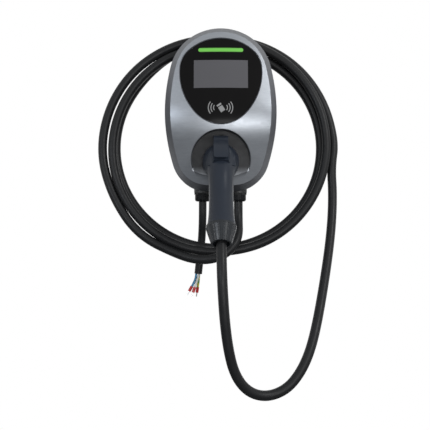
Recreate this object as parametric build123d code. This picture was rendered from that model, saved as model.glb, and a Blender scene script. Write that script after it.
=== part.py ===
from build123d import *
import os
from math import atan2, cos, degrees, radians, sin, sqrt, tan

os.makedirs("parts", exist_ok=True)

# A wall-mounted charging box for an electric car, with its cable wound over the back of the box
# and its plug parked in the dish of the front cover.
# Millimetres. X is to the right, Z is up, the wall is the plane Y = 0 and the front faces -Y.
# A depth is a distance from the wall towards the front, so it lies at Y = -depth.

# General fits
seat_gap = 0.3
running_gap = 0.05
cut_over = 20.0

# Outline of the box, seen from the front
cover_top = 142.0
cover_bottom = -142.0
cover_half_width = 96.6
cover_widest = -3.0
cover_crown = 96.0
cover_shoulder = 84.0
cover_side = 330.0
cover_hip = 62.0
cover_base = 190.0

# Domed front: an upper and a lower slope that meet in a rounded brow
brow_depth = 139.0
cover_rise = 63.0
seam_depth = brow_depth - cover_rise
brow_height = -25.0
brow_radius = 140.0
upper_lean = 7.0
lower_lean = 20.0
front_crown_radius = 400.0
band_depth = 16.0
band_width = 11.0
cover_wall = 3.2

# Display panel and its opening
panel_top = 119.6
panel_bottom = -28.0
panel_half_width = 69.8
panel_widest = 62.0
panel_crown = 84.0
panel_shoulder = 42.0
panel_side = 105.0
panel_hip = 60.0
panel_base = 47.0
panel_recess = 0.8
panel_thickness = 2.2
panel_fit = 0.3
opening_bevel = 1.4
glue_line = 0.2
ledge_width = 4.0
ledge_thickness = 2.5
frame_margin = 3.0

# Light bar
bar_length = 76.5
bar_height = 6.8
bar_level = 99.7
bar_fit = 0.25
bar_recess = 0.2

# Rear housing
neck_inset = 24.0
tray_depth = 36.0
neck_depth = seam_depth - tray_depth
housing_wall = 3.0
rim_wall = 5.0
pocket_width = 104.0
pocket_height = 150.0
pocket_depth = 10.0
pocket_corner = 6.0

# Seal between the housing and the cover
seal_inset = 0.8
seal_width = 1.8
seal_height = 2.2
seal_fit = 0.1

# Wall bracket
bracket_margin = 3.0
bracket_width = pocket_width - 2 * bracket_margin
bracket_height = pocket_height - 2 * bracket_margin
bracket_thickness = 2.5
bracket_corner = 8.0
mount_spacing_x = 70.0
mount_spacing_z = 110.0
mount_hole_radius = 3.3
hook_offset = 20.0
hook_width = 16.0
hook_level = 50.0
hook_rise = 9.0
hook_slot_margin = 0.8
hook_slot_drop = 6.0
pad_offset = 14.0
pad_level = -56.0
pad_radius = 7.0

# Screws: shank radius, head radius and head height
m5_radius = 2.5
m5_head_radius = 4.5
m5_head_height = 3.4
m4_radius = 2.0
m4_head_radius = 3.8
m4_head_height = 3.2
m3_radius = 1.5
m3_head_radius = 2.8
m3_head_height = 2.2
drive_radius = 1.2
drive_depth = 1.2
hole_gap = 0.3
thread_gap = 0.05

# Screws that join the cover to the housing, as shares of the way down each side of the rim
cover_screw_inset = 13.5
cover_post_radius = 5.0
cover_screw_hold = 12.0
cover_screw_seat = seam_depth - cover_screw_hold
cover_screw_bite = 12.0
cover_screw_shares = (0.09, 0.49, 0.77)

# Main board inside the neck
board_width = 100.0
board_height = 136.0
board_thickness = 1.6
board_depth = 22.0
board_corner = 4.0
board_hole_x = 44.0
board_hole_z = 61.0
board_post_radius = 4.5
board_screw_bite = 6.0

# Parts on the main board
relay_count = 2
relay_width = 30.0
relay_height = 24.0
relay_depth = 22.0
relay_pitch = 34.0
relay_level = 14.0
relay_shift = 20.0
relay_edge = 1.5
supply_block_width = 38.0
supply_block_height = 30.0
supply_block_depth = 20.0
supply_block_x = -20.0
supply_block_z = 45.0
supply_block_edge = 2.0
capacitor_count = 3
capacitor_radius = 6.0
capacitor_length = 20.0
capacitor_pitch = 13.0
capacitor_x = 14.0
capacitor_z = 46.0
capacitor_edge = 1.0
terminal_depth = 18.0
terminal_height = 14.0
terminal_pitch = 9.5
terminal_level = -50.0
terminal_edge = 1.0
terminal_screw_radius = 2.6
terminal_screw_sink = 4.0
input_shift = -29.0
output_shift = 18.0
wire_level_depth = 33.0
wire_entry = 5.0
sensor_outer = 15.0
sensor_bore = 8.0
sensor_height = 12.0
sensor_level = -20.0
sensor_shift = 20.0
sensor_edge = 2.0
sensor_wire_spacing = 7.0
earth_bar_length = 44.0
earth_bar_height = 9.0
earth_bar_depth = 7.0
earth_bar_drop = 17.0
earth_bar_level = -pocket_height / 2 - housing_wall - earth_bar_drop
earth_hole_radius = 2.2
earth_hole_pitch = 8.0
earth_bar_holes = 5

# Control board behind the display
control_width = 128.0
control_top = 108.0
control_bottom = -20.0
control_corner = 24.0
control_set_back = 30.6
control_depth = brow_depth - control_set_back
control_post_radius = 3.6
control_post_x = 60.0
control_post_high = 88.0
control_post_low = 10.0
control_screw_bite = 5.0
lcd_width = 98.0
lcd_height = 54.0
lcd_depth = 9.0
lcd_level = 57.6
lcd_bezel = 3.0
lcd_bezel_sink = 0.6
led_strip_width = 72.0
led_strip_height = 5.0
led_strip_depth = 1.4
antenna_width = 50.0
antenna_height = 30.0
antenna_depth = 1.2
antenna_level = 0.0
antenna_spacer = 6.0
antenna_spacer_radius = 3.0
antenna_spacer_x = 18.0

# Dish for the plug and the socket behind it
dish_radius = 50.0
dish_set_back = 31.5
dish_depth = brow_depth - dish_set_back
dish_level = -90.5
dish_rise = 4.0
dish_mouth_round = 2.6
dish_tilt = 4.0
dish_floor = 4.0
dish_wall = 3.0
socket_wall = 2.8
socket_length = 44.0
socket_gap = 0.6
flange_width = 84.0
flange_height = 52.0
flange_thickness = 2.5
flange_rise = 3.0
flange_corner = 8.0
flange_screw_x = 36.0
flange_screw_rise = 16.0
flange_screw_bite = 2.8
hook_box_depth = 14.0
hook_box_wall = 2.0

# Cable glands
gland_x = 32.0
gland_set_back = 17.0
gland_depth = seam_depth - gland_set_back
gland_pad_radius = 15.5
gland_pad_height = 11.0
gland_thread_radius = 12.4
gland_hex = 26.0
gland_flange = 3.5
gland_stub_radius = 10.8
gland_stub = 6.5
gland_nut_radius = 13.9
gland_nut_height = 12.0
gland_nut_wall = 2.2
gland_nut_round = 4.0
gland_nut_flats = 12
gland_flat_depth = 0.4
locknut_hex = 29.0
locknut_height = 5.0
gland_shank_over = 1.0

# Cables
charge_radius = 8.0
supply_radius = 7.0
cord_gap = 0.15
arc_share = 0.45
sheath_inside = 18.0
supply_core_count = 3
supply_core_angles = (180, 60, 300)
supply_core_radius = 2.1
supply_core_circle = 3.2
core_lead = 5.0
charge_core_count = 5
inner_wire_radius = 1.2
inner_wire_circle = 4.3
inner_wire_bend = 7.0
inner_wire_rise = 10.0
inner_wire_back = 14.0
collar_radius = 2.7
collar_length = 10.0
tip_radius = 1.2
tip_length = 7.5

# The coil that hangs over the neck, leaning forwards at its foot
coil_x = -4.5
coil_level = -57.2
coil_radius = 196.5
coil_depth = 46.0
coil_lean = 7.62
coil_half_radial = 18.5
coil_half_depth = 16.5
coil_corner = 14.0

# Plug: a collar in the dish, a bend and a grip that leans out towards the user
collar_face_radius = 31.0
head_length = 20.0
bend_radius = 50.0
grip_lean = 60.0
grip_length = 97.0
bend_width = 52.0
bend_height = 52.0
throat_width = 43.0
throat_height = 45.0
waist_width = 39.5
waist_height = 39.0
flare_width = 42.0
flare_height = 42.0
butt_width = 46.0
butt_height = 45.0
waist_start_share = 0.3
waist_end_share = 0.62
flare_share = 0.87
plug_wall = 3.0

# Ridge on the head and the lever that caps it
ridge_width = 24.5
ridge_spread = 11.0
ridge_root = 12.0
ridge_high = 6.0
ridge_mid = 4.5
ridge_low = 1.5
ridge_low_swell = 1.5
ridge_middle_share = 0.4
lever_high = 13.0
lever_mid = 11.5
lever_low = 8.5
lever_gap = 0.8
lever_mid_gap = 1.8
lever_lip_gap = 4.6
lever_reach_share = 0.82
lever_top_round = 3.0
lever_lip_round = 7.0
lever_arm_width = 10.0
lever_arm_thickness = 5.0
lever_arm_low = 38.5
lever_nib_length = 6.5
lever_nib_drop = 3.5
lever_nib_catch = 1.5
pivot_along = 27.0
pivot_height = 32.0
pin_radius = 2.0
pin_length = 22.0
lug_width = 10.0
lug_radius = 5.0
lug_gap = 0.8
spring_radius = 3.0
spring_wire = 0.45
spring_turns = 3.5
spring_length = 11.5

# Nose of the plug
nose_radius = 22.0
nose_length = 42.0
nose_flange_radius = 26.5
nose_flange = 4.0
nose_edge = 1.5
power_contacts = 3
power_contact_radius = 4.2
signal_contact_radius = 2.6
contact_wall = 0.9
contact_depth = 34.0
contact_mouth = 4.0
contact_place_shares = (
    (-0.34, 0.32), (0.34, 0.32), (0.0, -0.46), (-0.56, -0.2), (0.56, -0.2)
)

# Strain relief at the end of the grip
nut_length = 30.0
nut_start_radius = 24.0
nut_end_radius = 16.4
nut_bore_radius = 13.2
nut_flutes = 18
nut_flute_radius = 2.0
nut_flute_sink = 0.8
nut_lead = 4.0
stub_radius = 17.0
stub_length = 12.0
stub_bore = 12.0
bush_radius = 11.6
bush_tip_radius = 10.2
bush_flange_radius = 16.4
bush_flange = 3.0
bush_set_back = 5.0
bush_tail = 8.0
cable_straight = 35.0
plug_boss_radius = 3.2
plug_boss_x = 11.5
plug_boss_shares = (0.12, 0.8)
plug_screw_bite = 5.0
plug_screw_sink = 6.0


# Outline of the box and of the display panel

def touch_point(centre, radius, blend_centre, blend_radius):
    """Where a blend arc meets the arc that it continues."""
    way = (blend_centre - centre).normalized()
    if blend_radius > radius:
        way = way * -1
    return centre + way * radius


def blend_centre(end_centre, end_radius, side_centre, side_radius, radius, widest):
    """Centre of the arc that joins an end arc to a side arc without a corner."""
    end_reach = abs(end_radius - radius)
    side_reach = abs(side_radius - radius)
    apart = side_centre - end_centre
    along = (end_reach**2 - side_reach**2 + apart.length**2) / (2 * apart.length)
    across = sqrt(end_reach**2 - along**2)
    unit = apart.normalized()
    normal = Vector(unit.Y, -unit.X)
    found = []
    for side in (1, -1):
        centre = end_centre + unit * along + normal * (across * side)
        touch = touch_point(end_centre, end_radius, centre, radius)
        if touch.X > 0:
            found.append((abs(touch.Y - widest), side, centre))
    return max(found)[2]


def arc_about(centre, radius, start, end):
    way = ((start - centre) + (end - centre)).normalized()
    return ThreePointArc(start, centre + way * radius, end)


def mirrored(point):
    return Vector(-point.X, point.Y)


def egg_half(inset, top, bottom, half_width, widest, crown, shoulder, side, hip, base):
    """Right half of an egg outline of tangent arcs, from its top to its foot.

    The inset moves every arc inwards by the same amount.
    """
    crown_centre = Vector(0, top - crown)
    base_centre = Vector(0, bottom + base)
    side_centre = Vector(half_width - side, widest)
    shoulder_centre = blend_centre(crown_centre, crown, side_centre, side, shoulder, widest)
    hip_centre = blend_centre(base_centre, base, side_centre, side, hip, widest)

    def inner(centre, radius, blend, blend_radius):
        touch = touch_point(centre, radius, blend, blend_radius)
        return centre + (touch - centre).normalized() * (radius - inset)

    crown_end = inner(crown_centre, crown, shoulder_centre, shoulder)
    side_high = inner(side_centre, side, shoulder_centre, shoulder)
    side_low = inner(side_centre, side, hip_centre, hip)
    base_end = inner(base_centre, base, hip_centre, hip)
    return [
        arc_about(crown_centre, crown - inset, Vector(0, top - inset), crown_end),
        arc_about(shoulder_centre, shoulder - inset, crown_end, side_high),
        arc_about(side_centre, side - inset, side_high, side_low),
        arc_about(hip_centre, hip - inset, side_low, base_end),
        arc_about(base_centre, base - inset, base_end, Vector(0, bottom + inset)),
    ]


def whole_face(right_half):
    left_half = [edge.mirror(Plane.YZ) for edge in right_half]
    return make_face(Curve() + right_half + left_half)


def cover_rim(inset):
    return egg_half(
        inset, cover_top, cover_bottom, cover_half_width, cover_widest,
        cover_crown, cover_shoulder, cover_side, cover_hip, cover_base,
    )


def cover_face(inset):
    return whole_face(cover_rim(inset))


def panel_face(inset):
    return whole_face(
        egg_half(
            inset, panel_top, panel_bottom, panel_half_width, panel_widest,
            panel_crown, panel_shoulder, panel_side, panel_hip, panel_base,
        )
    )


# Small helpers

def at_depth(depth):
    """Plane parallel to the wall, its normal towards the front."""
    return Plane.XZ.offset(depth)


def slab(face, start, end):
    """A flat outline made solid between two depths."""
    return extrude(at_depth(start) * face, amount=end - start)


def rod(x, z, radius, start, end):
    """A round rod square to the wall between two depths."""
    return slab(Pos(x, z) * Circle(radius), start, end)


def block(x, z, width, height, start, end, edge):
    """A rounded block square to the wall."""
    return slab(Pos(x, z) * RectangleRounded(width, height, edge), start, end)


def upright_rod(x, depth, radius, low, high):
    return Pos(x, -depth, low) * extrude(Circle(radius), amount=high - low)


def tube(points, radii, radius):
    """A round cord along straight runs that tangent arcs join."""
    path = FilletPolyline(*points, radius=radii)
    start = Plane(origin=path @ 0, z_dir=path % 0)
    return sweep(start * Circle(radius), path=path)


def screw(plane, radius, head_radius, head_height, length):
    """A pan-head screw. Its seat is the plane and its head stands out along the normal."""
    head = extrude(plane * Circle(head_radius), amount=head_height)
    drive = extrude(
        plane.offset(head_height - drive_depth) * Circle(drive_radius), amount=head_height
    )
    shank = extrude(plane * Circle(radius), amount=-length)
    return head + shank - drive


def save(name, shapes):
    """Writes one node. Pieces of a group stay separate solids."""
    pieces = shapes if isinstance(shapes, list) else [shapes]
    solids = [solid for piece in pieces for solid in piece.solids()]
    whole = solids[0] if len(solids) == 1 else Compound(children=solids)
    export_step(whole, f"parts/{name}.step")
    print(name, len(solids), round(sum(solid.volume for solid in solids)))


# Domed front

def front_form(inset):
    """Everything behind the domed front surface, set back by the inset."""
    top_level = cover_top + cut_over
    bottom_level = cover_bottom - cut_over
    corner_y = inset - brow_depth
    top_y = corner_y + (top_level - brow_height) * tan(radians(upper_lean))
    bottom_y = corner_y + (brow_height - bottom_level) * tan(radians(lower_lean))
    front = FilletPolyline(
        (top_y, top_level), (corner_y, brow_height), (bottom_y, bottom_level), radius=brow_radius
    )
    back = Polyline((bottom_y, bottom_level), (0, bottom_level), (0, top_level), (top_y, top_level))
    profile = Plane.YZ * make_face(Curve() + [front, back])
    turning_axis = Axis((0, front_crown_radius - brow_depth, 0), (0, 0, 1))
    return revolve(profile, turning_axis, 360)


def shared_edges(faces, others):
    other_edges = [edge for face in others for edge in face.edges()]
    own_edges = [edge for face in faces for edge in face.edges()]
    return [edge for edge in own_edges if any(edge.is_same(other) for other in other_edges)]


def cover_block(inset):
    """The cover's outer form, set inwards by the inset, with the bevelled band round its front."""
    prism = slab(cover_face(inset), seam_depth, brow_depth + cut_over)
    whole = prism & front_form(inset)
    behind = -seam_depth - seat_gap
    fronts = [face for face in whole.faces() if face.bounding_box().max.Y < behind]
    sides = [
        face for face in whole.faces()
        if face.bounding_box().max.Y >= behind > face.bounding_box().min.Y
    ]
    return chamfer(shared_edges(sides, fronts), length=band_depth, length2=band_width)


socket_plane = Plane(
    origin=(0, -dish_depth, dish_level),
    x_dir=(1, 0, 0),
    z_dir=(0, -cos(radians(dish_tilt)), -sin(radians(dish_tilt))),
)
dish_centre = Pos(0, dish_rise)
arm_centre_rise = lever_arm_low + lever_arm_thickness / 2
hook_slot_low = lever_arm_low - lever_nib_drop + lever_nib_catch
hook_room_low = lever_arm_low - lever_nib_drop - lug_gap
hook_slot_high = lever_arm_low + lever_arm_thickness + lever_nib_drop
hook_slot_width = lever_arm_width + lever_nib_drop


def cover_screw_places():
    rim = Wire(cover_rim(cover_screw_inset))
    right = [rim.position_at(share) for share in cover_screw_shares]
    return right + [mirrored(place) for place in right]


def control_post_places():
    return [
        (side * control_post_x, level)
        for side in (-1, 1)
        for level in (control_post_low, control_post_high)
    ]


def flange_screw_places():
    return [
        (side * flange_screw_x, flange_rise + end * flange_screw_rise)
        for side in (-1, 1)
        for end in (-1, 1)
    ]


def mouth_edges(body, before):
    """Edges that the last cut has made in the outer surface."""
    found = []
    for edge in body.edges():
        middle = edge.center()
        on_surface = any(face.distance_to(middle) < running_gap for face in before.faces())
        was_there = any(other.distance_to(middle) < running_gap for other in before.edges())
        if on_surface and not was_there:
            found.append(edge)
    return found


def make_front_cover(outer):
    skin = cover_block(cover_wall / 2)
    ledge_floor = panel_recess + panel_thickness + glue_line
    behind_ledge = cover_block(ledge_floor + ledge_thickness)
    pocket = slab(panel_face(0), seam_depth, brow_depth + cut_over) - cover_block(ledge_floor)
    dish = extrude(socket_plane * dish_centre * Circle(dish_radius), amount=brow_depth)
    with_pocket = outer - pocket
    with_pocket = chamfer(mouth_edges(with_pocket, outer), opening_bevel)
    with_dish = with_pocket - dish
    with_dish = fillet(mouth_edges(with_dish, with_pocket), dish_mouth_round)
    shell = with_dish - cover_block(cover_wall)
    frame = (slab(panel_face(-frame_margin), seam_depth, brow_depth) & skin) - behind_ledge
    posts = [
        rod(x, z, control_post_radius, control_depth + board_thickness, brow_depth)
        for x, z in control_post_places()
    ]
    screw_posts = [
        rod(place.X, place.Y, cover_post_radius, seam_depth, brow_depth)
        for place in cover_screw_places()
    ]
    cup = extrude(
        socket_plane.offset(-dish_floor) * dish_centre * Circle(dish_radius + dish_wall),
        amount=brow_depth,
    )
    shell = shell + frame
    for piece in [*posts, *screw_posts, cup]:
        shell = shell + (piece & skin)
    opening = slab(panel_face(ledge_width), control_depth, brow_depth + cut_over)
    nose_hole = extrude(
        socket_plane * Circle(nose_radius + socket_gap), amount=-dish_floor - cut_over
    )
    hook_slot = extrude(
        socket_plane.offset(-dish_floor - cut_over)
        * Pos(0, (hook_slot_low + hook_slot_high) / 2)
        * Rectangle(hook_slot_width, hook_slot_high - hook_slot_low),
        amount=dish_floor + 2 * cut_over,
    )
    shell = shell - opening - pocket - dish - nose_hole - hook_slot
    for place in cover_screw_places():
        shell = shell - rod(
            place.X, place.Y, m4_radius + thread_gap, seam_depth - seat_gap,
            seam_depth + cover_screw_bite + seat_gap,
        )
    for x, z in control_post_places():
        shell = shell - rod(
            x, z, m3_radius + thread_gap, control_depth, control_depth + board_thickness
            + control_screw_bite + seat_gap,
        )
    for x, rise in flange_screw_places():
        shell = shell - extrude(
            socket_plane.offset(-dish_floor) * Pos(x, rise) * Circle(m3_radius + thread_gap),
            amount=flange_screw_bite + seat_gap,
        )
    return shell.solids().sort_by(SortBy.VOLUME)[-1]


def make_display_panel():
    plate = slab(panel_face(panel_fit), seam_depth, brow_depth + cut_over)
    plate = (plate & cover_block(panel_recess)) - cover_block(panel_recess + panel_thickness)
    slot = slab(
        Pos(0, bar_level) * SlotOverall(bar_length + 2 * bar_fit, bar_height + 2 * bar_fit),
        seam_depth, brow_depth + cut_over,
    )
    return plate - slot


def make_light_bar():
    back = control_depth + board_thickness + led_strip_depth
    bar = slab(Pos(0, bar_level) * SlotOverall(bar_length, bar_height), back, brow_depth)
    return bar & cover_block(panel_recess + bar_recess)


# Rear housing and wall bracket

def make_rear_housing():
    neck = slab(cover_face(neck_inset), 0, neck_depth + housing_wall)
    tray = slab(cover_face(0), neck_depth, seam_depth)
    body = neck + tray
    body = body - slab(cover_face(neck_inset + housing_wall), housing_wall, seam_depth)
    body = body - slab(cover_face(rim_wall), neck_depth + housing_wall, seam_depth + cut_over)
    outer_width = pocket_width + 2 * housing_wall
    outer_height = pocket_height + 2 * housing_wall
    box = block(
        0, 0, outer_width, outer_height, 0, pocket_depth + housing_wall,
        pocket_corner + housing_wall,
    )
    body = body + box
    body = body - block(0, 0, pocket_width, pocket_height, -cut_over, pocket_depth, pocket_corner)
    board_posts = [(x * board_hole_x, z * board_hole_z) for x in (-1, 1) for z in (-1, 1)]
    for x, z in board_posts:
        body = body + rod(x, z, board_post_radius, pocket_depth, board_depth)
    for place in cover_screw_places():
        body = body + rod(place.X, place.Y, cover_post_radius, neck_depth, seam_depth)
    for side in (-1, 1):
        pad = upright_rod(
            side * gland_x, gland_depth, gland_pad_radius, cover_bottom,
            cover_bottom + gland_pad_height,
        )
        body = body + pad
    for x, z in board_posts:
        body = body - rod(
            x, z, m3_radius + thread_gap, board_depth - board_screw_bite - seat_gap,
            board_depth + seat_gap,
        )
    for place in cover_screw_places():
        x, z = place.X, place.Y
        body = body - rod(x, z, m4_radius + hole_gap, neck_depth - cut_over, seam_depth + cut_over)
        body = body - rod(x, z, m4_head_radius + hole_gap, neck_depth - cut_over, cover_screw_seat)
    for side in (-1, 1):
        body = body - upright_rod(
            side * gland_x, gland_depth, gland_thread_radius + running_gap,
            cover_bottom - cut_over, cover_bottom + gland_pad_height + cut_over,
        )
        body = body - upright_rod(
            side * gland_x, gland_depth, locknut_hex / sqrt(3) + seat_gap,
            cover_bottom + gland_pad_height, cover_bottom + gland_pad_height + cut_over,
        )
        slot_width = hook_width + 2 * hook_slot_margin
        slot_top = hook_level + bracket_thickness + seat_gap
        slot_low = hook_level - hook_slot_drop
        body = body - slab(
            Pos(side * hook_offset, (slot_top + slot_low) / 2)
            * Rectangle(slot_width, slot_top - slot_low),
            pocket_depth - seat_gap, pocket_depth + housing_wall + seat_gap,
        )
        body = body - rod(
            side * pad_offset, pad_level, m5_radius + hole_gap, 0,
            pocket_depth + housing_wall + seat_gap,
        )
    groove = slab(cover_face(seal_inset), seam_depth - seal_height, seam_depth + cut_over)
    groove = groove - slab(
        cover_face(seal_inset + seal_width), seam_depth - seal_height, seam_depth + cut_over
    )
    return body - groove


def make_cover_seal():
    ring = slab(cover_face(seal_inset + seal_fit), seam_depth - seal_height, seam_depth)
    return ring - slab(
        cover_face(seal_inset + seal_width - seal_fit), seam_depth - seal_height, seam_depth
    )


def make_wall_bracket():
    plate = block(0, 0, bracket_width, bracket_height, 0, bracket_thickness, bracket_corner)
    hook_front = pocket_depth + housing_wall + seat_gap
    for side in (-1, 1):
        x = side * hook_offset
        leg = slab(
            Pos(x, hook_level + bracket_thickness / 2) * Rectangle(hook_width, bracket_thickness),
            0, hook_front + bracket_thickness,
        )
        catch = slab(
            Pos(x, hook_level + hook_rise / 2) * Rectangle(hook_width, hook_rise),
            hook_front, hook_front + bracket_thickness,
        )
        pad = rod(side * pad_offset, pad_level, pad_radius, 0, pocket_depth - seat_gap)
        plate = plate + leg + catch + pad
        plate = plate - rod(
            side * pad_offset, pad_level, m5_radius + thread_gap, -cut_over,
            pocket_depth + housing_wall,
        )
        for end in (-1, 1):
            plate = plate - rod(
                side * mount_spacing_x / 2, end * mount_spacing_z / 2, mount_hole_radius,
                -cut_over, bracket_thickness + cut_over,
            )
    return plate


def make_bracket_screws():
    seat = pocket_depth + housing_wall
    length = seat - bracket_thickness
    return [
        screw(plane_at(seat, side * pad_offset, pad_level, 1), m5_radius, m5_head_radius,
              m5_head_height, length)
        for side in (-1, 1)
    ]


def plane_at(depth, x, z, sign):
    """A plane parallel to the wall through a point, its normal to the front or to the wall."""
    return Plane(origin=(x, -depth, z), x_dir=(1, 0, 0), z_dir=(0, -sign, 0))


def make_cover_screws():
    length = seam_depth - cover_screw_seat + cover_screw_bite
    return [
        screw(plane_at(cover_screw_seat, place.X, place.Y, -1), m4_radius, m4_head_radius,
              m4_head_height, length)
        for place in cover_screw_places()
    ]


# Boards and what they carry

def make_main_board():
    plate = block(
        0, 0, board_width, board_height, board_depth, board_depth + board_thickness, board_corner
    )
    for x in (-1, 1):
        for z in (-1, 1):
            plate = plate - rod(
                x * board_hole_x, z * board_hole_z, m3_radius + hole_gap,
                board_depth - seat_gap, board_depth + board_thickness + seat_gap,
            )
    return plate


def make_main_board_screws():
    seat = board_depth + board_thickness
    return [
        screw(plane_at(seat, x * board_hole_x, z * board_hole_z, 1), m3_radius, m3_head_radius,
              m3_head_height, board_thickness + board_screw_bite)
        for x in (-1, 1)
        for z in (-1, 1)
    ]


board_front = board_depth + board_thickness


def make_relays():
    made = []
    for place in range(relay_count):
        x = relay_shift - place * relay_pitch
        case = block(
            x, relay_level, relay_width, relay_height, board_front, board_front + relay_depth,
            relay_edge,
        )
        lid = block(
            x, relay_level, relay_width - 2 * relay_edge, relay_height - 2 * relay_edge,
            board_front + relay_depth, board_front + relay_depth + relay_edge, relay_edge / 2,
        )
        made.append(case + lid)
    return made


def make_power_supply():
    case = block(
        supply_block_x, supply_block_z, supply_block_width, supply_block_height,
        board_front, board_front + supply_block_depth, supply_block_edge,
    )
    return chamfer(case.faces().sort_by(Axis.Y)[0].edges(), supply_block_edge / 2)


def make_capacitors():
    made = []
    for place in range(capacitor_count):
        can = rod(
            capacitor_x + place * capacitor_pitch, capacitor_z, capacitor_radius,
            board_front, board_front + capacitor_length,
        )
        made.append(fillet(can.faces().sort_by(Axis.Y)[0].edges(), capacitor_edge))
    return made


def terminal_places(count, shift):
    return [shift + (place - (count - 1) / 2) * terminal_pitch for place in range(count)]


def make_terminals(count, shift):
    width = count * terminal_pitch + 2 * terminal_edge
    body = block(
        shift, terminal_level, width, terminal_height, board_front,
        board_front + terminal_depth, terminal_edge,
    )
    foot = terminal_level - terminal_height / 2
    for x in terminal_places(count, shift):
        body = body - rod(
            x, terminal_level, terminal_screw_radius,
            board_front + terminal_depth - terminal_screw_sink, board_front + terminal_depth
            + seat_gap,
        )
        body = body - upright_rod(
            x, wire_level_depth, supply_core_radius + seat_gap, foot - seat_gap, foot + wire_entry
        )
    return body


def make_current_sensor():
    profile = Pos(sensor_bore + (sensor_outer - sensor_bore) / 2, 0) * RectangleRounded(
        sensor_outer - sensor_bore, sensor_height, sensor_edge
    )
    ring = revolve(Plane.XZ * profile, Axis.Z, 360)
    return Pos(sensor_shift, -board_front - sensor_outer - seat_gap, sensor_level) * ring


def make_sensor_wires():
    """The two power conductors that pass through the current sensor."""
    low = terminal_level + terminal_height / 2
    high = relay_level - relay_height / 2
    depth = board_front + terminal_depth - terminal_height / 2
    made = []
    for side in (-1, 1):
        x = sensor_shift + side * sensor_wire_spacing / 2
        middle = board_front + sensor_outer + seat_gap
        points = [
            (x, -depth, low),
            (x, -depth, low + sensor_wire_spacing / 2),
            (x, -middle, sensor_level - sensor_height / 2),
            (x, -middle, sensor_level + sensor_height / 2),
            (x, -depth, high - sensor_wire_spacing / 2),
            (x, -depth, high),
        ]
        made.append(tube(points, inner_wire_radius, inner_wire_radius))
    return made


def make_earth_bar():
    bar = block(
        0, earth_bar_level, earth_bar_length, earth_bar_height, housing_wall,
        housing_wall + earth_bar_depth, terminal_edge,
    )
    for place in range(earth_bar_holes):
        x = (place - (earth_bar_holes - 1) / 2) * earth_hole_pitch
        bar = bar - rod(
            x, earth_bar_level, earth_hole_radius, housing_wall, housing_wall + 2 * earth_bar_depth
        )
    return bar


control_front = control_depth + board_thickness


def make_control_board():
    height = control_top - control_bottom
    plate = block(
        0, (control_top + control_bottom) / 2, control_width, height, control_depth,
        control_front, control_corner,
    )
    for x, z in control_post_places():
        plate = plate - rod(
            x, z, m3_radius + hole_gap, control_depth - seat_gap, control_front + seat_gap
        )
    return plate


def make_control_board_screws():
    return [
        screw(plane_at(control_depth, x, z, -1), m3_radius, m3_head_radius, m3_head_height,
              board_thickness + control_screw_bite)
        for x, z in control_post_places()
    ]


def make_lcd_module():
    module = block(
        0, lcd_level, lcd_width, lcd_height, control_front, control_front + lcd_depth,
        terminal_edge,
    )
    window = slab(
        Pos(0, lcd_level) * Rectangle(lcd_width - 2 * lcd_bezel, lcd_height - 2 * lcd_bezel),
        control_front + lcd_depth - lcd_bezel_sink, control_front + lcd_depth + seat_gap,
    )
    return module - window


def make_led_strip():
    return slab(
        Pos(0, bar_level) * Rectangle(led_strip_width, led_strip_height), control_front,
        control_front + led_strip_depth,
    )


def make_antenna_board():
    front = control_front + antenna_spacer
    plate = block(
        0, antenna_level, antenna_width, antenna_height, front, front + antenna_depth,
        board_corner,
    )
    for side in (-1, 1):
        plate = plate + rod(
            side * antenna_spacer_x, antenna_level, antenna_spacer_radius, control_front, front
        )
    return plate


# Socket behind the dish

nose_hole_radius = nose_radius + socket_gap
socket_back = socket_plane.offset(-dish_floor)


def make_holster_socket():
    flange = extrude(
        socket_back * Pos(0, flange_rise)
        * RectangleRounded(flange_width, flange_height, flange_corner),
        amount=-flange_thickness,
    )
    cup = extrude(socket_back * Circle(nose_hole_radius + socket_wall), amount=-socket_length)
    box_height = hook_slot_high - hook_room_low + 2 * hook_box_wall
    box_middle = Pos(0, (hook_slot_high + hook_room_low) / 2)
    box_width = hook_slot_width + 2 * hook_box_wall
    box = extrude(
        socket_back * box_middle * Rectangle(box_width, box_height),
        amount=-hook_box_depth,
    )
    web_height = hook_room_low - nose_hole_radius
    web = extrude(
        socket_back * Pos(0, nose_hole_radius + web_height / 2) * Rectangle(box_width, web_height),
        amount=-flange_thickness,
    )
    bore = extrude(socket_back * Circle(nose_hole_radius), amount=-socket_length + socket_wall)
    hollow = extrude(
        socket_back * box_middle
        * Rectangle(hook_slot_width, hook_slot_high - hook_room_low),
        amount=-hook_box_depth + hook_box_wall,
    )
    body = flange + cup + box + web - bore - hollow
    for x, rise in flange_screw_places():
        body = body - extrude(
            socket_back * Pos(x, rise) * Circle(m3_radius + hole_gap), amount=-cut_over
        )
    return body


def make_holster_screws():
    seat = socket_back.offset(-flange_thickness)
    made = []
    for x, rise in flange_screw_places():
        origin = seat.from_local_coords(Vector(x, rise, 0))
        plane = Plane(origin=origin, x_dir=(1, 0, 0), z_dir=seat.z_dir * -1)
        made.append(
            screw(plane, m3_radius, m3_head_radius, m3_head_height,
                  flange_thickness + flange_screw_bite)
        )
    return made


# Cable glands, upright under the box

gland_shank = gland_pad_height + locknut_height + gland_shank_over


def make_gland_body(x, cable_radius):
    bottom = cover_bottom
    flange = Pos(x, -gland_depth, bottom - gland_flange) * extrude(
        RegularPolygon(gland_hex / 2, 6, major_radius=False), amount=gland_flange
    )
    shank = upright_rod(x, gland_depth, gland_thread_radius, bottom, bottom + gland_shank)
    stub = upright_rod(
        x, gland_depth, gland_stub_radius, bottom - gland_flange - gland_stub, bottom
    )
    bore = upright_rod(
        x, gland_depth, cable_radius + cord_gap, bottom - cut_over, bottom + gland_shank + seat_gap
    )
    return flange + shank + stub - bore


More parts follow.
